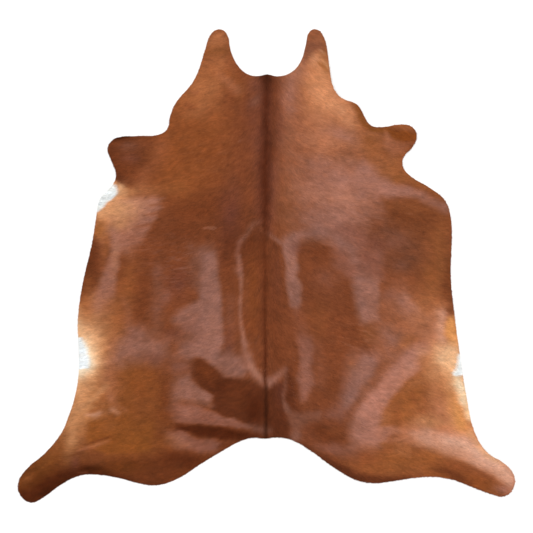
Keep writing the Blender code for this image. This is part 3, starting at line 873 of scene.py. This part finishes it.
def paintCoat(x, y):
    # the same as the linear colour of the material
    bare = np.maximum(toLinear(coatColour(x, y)) - coatTones["gloss"], coatTones["darkest"])
    return bare * coatTones["gain"]


# low ridges and troughs of the hide: lift and soft edge in millimetres, then a stroke
creases = [
    # rim of the light oval
    (1.3, 12, (-18, 168, 2), (-60, 178, 6), (-98, 142, 6), (-120, 95, 6), (-118, -5, 8),
     (-123, -200, 6), (-106, -335, 6), (-68, -455, 8), (-5, -521, 6), (28, -514, 6), (82, -460, 2)),
    # fold beside the root of the tail
    (3.0, 26, (-378, -640, 10), (-300, -655, 12), (-225, -670, 10), (-150, -692, 6), (-60, -715, 3)),
    # trough behind that fold
    (-1.6, 20, (-360, -708, 6), (-300, -729, 10), (-200, -738, 10), (-100, -742, 6)),
    # fold of the left flank
    (2.0, 26, (-362, -510, 10), (-335, -550, 14), (-270, -580, 6)),
    # crease of the left shank
    (1.2, 8, (-820, -815, 2), (-760, -795, 4), (-695, -773, 2)),
    # swell of the left barrel
    (1.5, 34, (-252, 95, 10), (-246, -60, 16), (-238, -200, 20), (-245, -350, 20), (-232, -405, 12)),
]

sheetSizes = {
    "cellCuts": 5,            # each cell of the frame's solid is cut this often each way
    "hairAbove": 1.4 * mm,    # how far the lying hair stands above the undercoat
    "thickness": 3.4 * mm,    # leather and undercoat
    "rimInset": 0.6 * mm,     # the cut edge lies under the hair's tips
    "weld": 0.01 * mm,
    "smoothing": 40,          # rounds of smoothing
    "smoothFactor": 0.5,
    "joinAngles": (40, 60),   # triangles less bent and less skewed than this become squares again
    "rimSlope": 0.5,          # steeper faces than this are the cut edge
}


def reliefHeight(x, y):
    height = np.zeros(x.shape)
    for lift, soft, *points in creases:
        height += strokeCover(x, y, points, soft) * lift
    return height * mm


def topOfHide():
    # the upper face of the frame's solid, divided finely and smoothed, with the fine folds added
    bm = bmesh.new()
    bm.from_mesh(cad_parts["hide"].data)
    bmesh.ops.remove_doubles(bm, verts=bm.verts, dist=sheetSizes["weld"])
    bm.normal_update()
    others = [face for face in bm.faces if face.normal.z < sheetSizes["rimSlope"]]
    bmesh.ops.delete(bm, geom=others, context="FACES")
    bend, skew = (math.radians(angle) for angle in sheetSizes["joinAngles"])
    bmesh.ops.join_triangles(bm, faces=bm.faces, angle_face_threshold=bend, angle_shape_threshold=skew)
    ring = bmesh.ops.inset_region(
        bm, faces=bm.faces, thickness=sheetSizes["rimInset"], use_boundary=True, use_even_offset=True
    )
    bmesh.ops.delete(bm, geom=ring["faces"], context="FACES")
    bmesh.ops.subdivide_edges(bm, edges=bm.edges, cuts=sheetSizes["cellCuts"], use_grid_fill=True)
    for step in range(sheetSizes["smoothing"]):
        bmesh.ops.smooth_vert(bm, verts=bm.verts, factor=sheetSizes["smoothFactor"], use_axis_z=True)
    places = np.array([vert.co for vert in bm.verts])
    lift = reliefHeight(places[:, 0] / mm, places[:, 1] / mm)
    for vert, rise in zip(bm.verts, lift):
        vert.co.z += rise - sheetSizes["hairAbove"]
    bm.normal_update()
    return bm


def placesOf(mesh):
    places = np.empty(len(mesh.vertices) * 3, np.float32)
    mesh.vertices.foreach_get("co", places)
    return places.reshape(-1, 3)


def colourMesh(mesh, colour):
    layer = mesh.color_attributes.new("coatColour", "FLOAT_COLOR", "POINT")
    four = np.ones((len(colour), 4), np.float32)
    four[:, :3] = colour
    layer.data.foreach_set("color", four.ravel())


def mapFromAbove(mesh):
    # a flat map, seen from above and filling its square
    flat = placesOf(mesh)[:, :2]
    flat = (flat - flat.min(0)) / (flat.max(0) - flat.min(0))
    used = np.empty(len(mesh.loops), np.int32)
    mesh.loops.foreach_get("vertex_index", used)
    layer = mesh.uv_layers.new(name="OFBake")
    layer.uv.foreach_set("vector", flat[used].astype(np.float32).ravel())


def makeSheet(bm, hair, cutEdge, fleshSide):
    bmesh.ops.solidify(bm, geom=bm.faces[:], thickness=sheetSizes["thickness"])
    bm.normal_update()
    slope = sheetSizes["rimSlope"]
    for face in bm.faces:
        face.material_index = 0 if face.normal.z > slope else 2 if face.normal.z < -slope else 1
        face.smooth = True
    mesh = bpy.data.meshes.new("hide_sheet")
    bm.to_mesh(mesh)
    for material in (hair, cutEdge, fleshSide):
        mesh.materials.append(material)
    places = placesOf(mesh)
    colourMesh(mesh, paintCoat(places[:, 0] / mm, places[:, 1] / mm) * coatTones["undercoat"])
    sheet = bpy.data.objects.new("hide_sheet", mesh)
    bpy.context.scene.collection.objects.link(sheet)
    return sheet


# the hair, as slim locks that lie on the sheet like shingles
coatSizes = {
    "spacing": 3.75 * mm,
    "scatter": 0.45,                         # how far a root strays, as a share of the spacing
    "length": (11.0 * mm, 17.0 * mm),
    "width": (3.2 * mm, 5.0 * mm),
    "height": 0.6 * mm,
    "tipRise": (0.3 * mm, 0.9 * mm),
    "rootDepth": 0.4 * mm,
    "cutBack": (1.0, 0.75, 0.5, 0.25, 0.0),  # a lock that passes the cut edge is cut back by steps
    "overhang": (2.25 * mm, 4.5 * mm),       # and then hangs over it a little
    "tint": 0.085,                           # how much the locks differ from each other
    "rootShade": 0.93,
    "tipShade": 1.03,
    "seed": 11,
    # the joined pieces from the tail to the neck, and the share of all locks at which a new one starts
    "pieces": ("coat_rump", "coat_loin", "coat_barrel", "coat_shoulder", "coat_neck"),
    "newPieceAt": (0.2, 0.4, 0.6, 0.8),
}

hairLie = {
    "parting": 90.0,       # millimetres from the back line over which the hair turns outwards
    "lean": 0.25,          # how much it leans towards the tail, out on the sides
    "backLean": 0.75,      # how much more it does so near the back line
    "backWidth": 160.0,
    "scatter": 0.13,
}


def hairAngle(x, y, random):
    # the lie of the hair: away from the back line and towards the tail
    outward = np.tanh(x / hairLie["parting"])
    backward = -hairLie["lean"] - hairLie["backLean"] * np.exp(-np.abs(x) / hairLie["backWidth"])
    angle = np.arctan2(backward, outward) + mottle("lie", x, y)
    return angle + random.normal(0.0, hairLie["scatter"], x.shape)


def lockShape():
    # one lock, a unit long along +X from its root, with a ridge on top
    bm = bmesh.new()
    bmesh.ops.create_cone(bm, cap_ends=True, segments=3, radius1=1.0, radius2=0.0, depth=1.0)
    bmesh.ops.rotate(bm, verts=bm.verts, cent=(0, 0, 0), matrix=Matrix.Rotation(math.radians(90), 3, "Y"))
    bmesh.ops.triangulate(bm, faces=bm.faces)
    bmesh.ops.recalc_face_normals(bm, faces=bm.faces)
    points = np.array([vert.co for vert in bm.verts])
    bm.verts.index_update()
    corners = np.array([[loop.vert.index for loop in face.loops] for face in bm.faces])
    bm.free()
    points -= points.min(0)
    points /= points.max(0)
    points[:, 1] -= 0.5
    return points, corners


def growHair(surface, random):
    # the root, heading, length and fall of every lock, on a loose grid over the hide
    step = coatSizes["spacing"]
    xs = np.arange(cadLow.x, cadHigh.x, step)
    ys = np.arange(cadLow.y, cadHigh.y, step)
    gridX, gridY = np.meshgrid(xs, ys)
    gridX[1::2] += step / 2
    stray = coatSizes["scatter"]
    x = (gridX + random.uniform(-stray, stray, gridX.shape) * step).ravel()
    y = (gridY + random.uniform(-stray, stray, gridY.shape) * step).ravel()
    overhead = 1.0  # rays start a metre above the floor
    down = Vector((0, 0, -1))
    roots = []
    for px, py in zip(x.tolist(), y.tolist()):
        place, normal, index, away = surface.ray_cast(Vector((px, py, overhead)), down)
        if place is not None:
            roots.append((px, py, place.z, normal.x / normal.z, normal.y / normal.z))
    roots = np.array(roots)
    angle = hairAngle(roots[:, 0] / mm, roots[:, 1] / mm, random)
    length = random.uniform(*coatSizes["length"], len(roots))
    fall = np.zeros(len(roots))
    ahead = np.stack([np.cos(angle), np.sin(angle)], 1)
    for index, (px, py, pz) in enumerate(roots[:, :3]):
        ax, ay = ahead[index]
        reach = length[index]
        for share in coatSizes["cutBack"]:
            above = Vector((px + ax * reach * share, py + ay * reach * share, overhead))
            tip = surface.ray_cast(above, down)[0]
            if tip is not None:
                break
        if tip is not None and share > 0.0:
            fall[index] = (tip.z - pz) / (reach * share)
        if share < 1.0:
            length[index] = reach * share + random.uniform(*coatSizes["overhang"])
    return roots, ahead, length, fall


def makeCoatPiece(name, places, corners, colour, material):
    # all locks of one piece, joined: places and colours are locks by points by three
    count, points = places.shape[:2]
    faces = (corners[None] + (np.arange(count) * points)[:, None, None]).reshape(-1, 3)
    mesh = bpy.data.meshes.new(name)
    mesh.vertices.add(count * points)
    mesh.vertices.foreach_set("co", places.astype(np.float32).ravel())
    mesh.loops.add(faces.size)
    mesh.loops.foreach_set("vertex_index", faces.astype(np.int32).ravel())
    mesh.polygons.add(len(faces))
    mesh.polygons.foreach_set("loop_start", np.arange(0, faces.size, 3, dtype=np.int32))
    mesh.update(calc_edges=True)
    mesh.shade_flat()
    colourMesh(mesh, colour.reshape(-1, 3))
    mapFromAbove(mesh)
    mesh.materials.append(material)
    piece = bpy.data.objects.new(name, mesh)
    bpy.context.scene.collection.objects.link(piece)
    print(name, len(faces), "triangles")
    return piece


def makeCoat(surface, material):
    random = np.random.default_rng(coatSizes["seed"])
    points, corners = lockShape()
    roots, ahead, length, fall = growHair(surface, random)
    count = len(roots)
    print("locks:", count)
    width = random.uniform(*coatSizes["width"], count)
    rise = random.uniform(*coatSizes["tipRise"], count)
    tint = 1 + coatSizes["tint"] * random.standard_normal(count)
    side = np.stack([-ahead[:, 1], ahead[:, 0]], 1)
    sideways = (side * roots[:, 3:5]).sum(1)
    along = points[None, :, 0] * length[:, None]
    across = points[None, :, 1] * width[:, None]
    places = np.empty((count, len(points), 3))
    for axis in (0, 1):
        places[..., axis] = roots[:, None, axis] + along * ahead[:, None, axis]
        places[..., axis] += across * side[:, None, axis]
    places[..., 2] = roots[:, None, 2] + along * fall[:, None] - across * sideways[:, None]
    places[..., 2] += points[None, :, 2] * coatSizes["height"] - coatSizes["rootDepth"]
    places[..., 2] += points[None, :, 0] * (rise[:, None] + coatSizes["rootDepth"])
    colour = paintCoat(places[..., 0].ravel() / mm, places[..., 1].ravel() / mm).reshape(places.shape)
    rootShade, tipShade = coatSizes["rootShade"], coatSizes["tipShade"]
    shade = rootShade + (tipShade - rootShade) * points[:, 0]
    colour = colour * shade[None, :, None] * tint[:, None, None]
    bands = np.digitize(roots[:, 1], np.quantile(roots[:, 1], coatSizes["newPieceAt"]))
    pieces = []
    for band, name in enumerate(coatSizes["pieces"]):
        chosen = bands == band
        pieces.append(makeCoatPiece(name, places[chosen], corners, colour[chosen], material))
    return pieces


hairFinish = {
    "strandScale": (60.0, 420.0, 60.0),
    "strandDetail": 3.0,
    "strandRoughness": 0.6,
    "roughness": (0.4, 0.62),
    "specular": 0.04,
    "bumpStrength": 0.35,
    "bumpHeight": 0.6 * mm,
}
leatherFinish = {
    "grainDetail": 5.0,
    "grainRoughness": 0.65,
    "rampEnds": (0.3, 0.7),
    "roughness": 0.85,
    "specular": 0.2,
    "bumpStrength": 0.4,
    "bumpHeight": 0.4 * mm,
}
# light tone, dark tone and how fine the grain is
cutEdgeLook = ((0.52, 0.42, 0.31, 1.0), (0.38, 0.28, 0.19, 1.0), 90.0)
fleshSideLook = ((0.62, 0.55, 0.44, 1.0), (0.46, 0.38, 0.28, 1.0), 24.0)


def addNoise(tree, source, scale, finish, kind):
    noise = tree.nodes.new("ShaderNodeTexNoise")
    noise.inputs["Scale"].default_value = scale
    noise.inputs["Detail"].default_value = finish[kind + "Detail"]
    noise.inputs["Roughness"].default_value = finish[kind + "Roughness"]
    tree.links.new(source, noise.inputs["Vector"])
    return noise


def addBump(tree, noise, shader, finish):
    bump = tree.nodes.new("ShaderNodeBump")
    bump.inputs["Strength"].default_value = finish["bumpStrength"]
    bump.inputs["Distance"].default_value = finish["bumpHeight"]
    tree.links.new(noise.outputs["Fac"], bump.inputs["Height"])
    tree.links.new(bump.outputs["Normal"], shader.inputs["Normal"])


def hairMaterial():
    material, tree, shader = newMaterial("hairOnHide", hairFinish["roughness"][0], hairFinish["specular"])
    colour = tree.nodes.new("ShaderNodeAttribute")
    colour.attribute_name = "coatColour"
    tree.links.new(colour.outputs["Color"], shader.inputs["Base Color"])
    place = tree.nodes.new("ShaderNodeTexCoord")
    stretch = tree.nodes.new("ShaderNodeMapping")
    stretch.inputs["Scale"].default_value = hairFinish["strandScale"]
    tree.links.new(place.outputs["Object"], stretch.inputs["Vector"])
    strands = addNoise(tree, stretch.outputs["Vector"], 1.0, hairFinish, "strand")
    gloss = tree.nodes.new("ShaderNodeMapRange")
    gloss.inputs["To Min"].default_value, gloss.inputs["To Max"].default_value = hairFinish["roughness"]
    tree.links.new(strands.outputs["Fac"], gloss.inputs["Value"])
    tree.links.new(gloss.outputs["Result"], shader.inputs["Roughness"])
    addBump(tree, strands, shader, hairFinish)
    return material


def leatherMaterial(name, light, dark, scale):
    material, tree, shader = newMaterial(name, leatherFinish["roughness"], leatherFinish["specular"])
    place = tree.nodes.new("ShaderNodeTexCoord")
    grain = addNoise(tree, place.outputs["Object"], scale, leatherFinish, "grain")
    ramp = tree.nodes.new("ShaderNodeValToRGB")
    for element, end, tone in zip(ramp.color_ramp.elements, leatherFinish["rampEnds"], (dark, light)):
        element.position = end
        element.color = tone
    tree.links.new(grain.outputs["Fac"], ramp.inputs["Fac"])
    tree.links.new(ramp.outputs["Color"], shader.inputs["Base Color"])
    addBump(tree, grain, shader, leatherFinish)
    return material


print("studio")
addCamera()
addStudio()
addFloor()
print("sheet")
hair = hairMaterial()
cutEdge = leatherMaterial("cutEdge", *cutEdgeLook)
fleshSide = leatherMaterial("fleshSide", *fleshSideLook)
top = topOfHide()
surface = BVHTree.FromBMesh(top)
area = sum(face.calc_area() for face in top.faces)
sheet = makeSheet(top, hair, cutEdge, fleshSide)
print("sheet", len(sheet.data.polygons), "faces, area", round(area, 3))
print("hair")
coat = makeCoat(surface, hair)

for piece in [sheet] + coat:
    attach(piece, "root")
    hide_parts("hide")
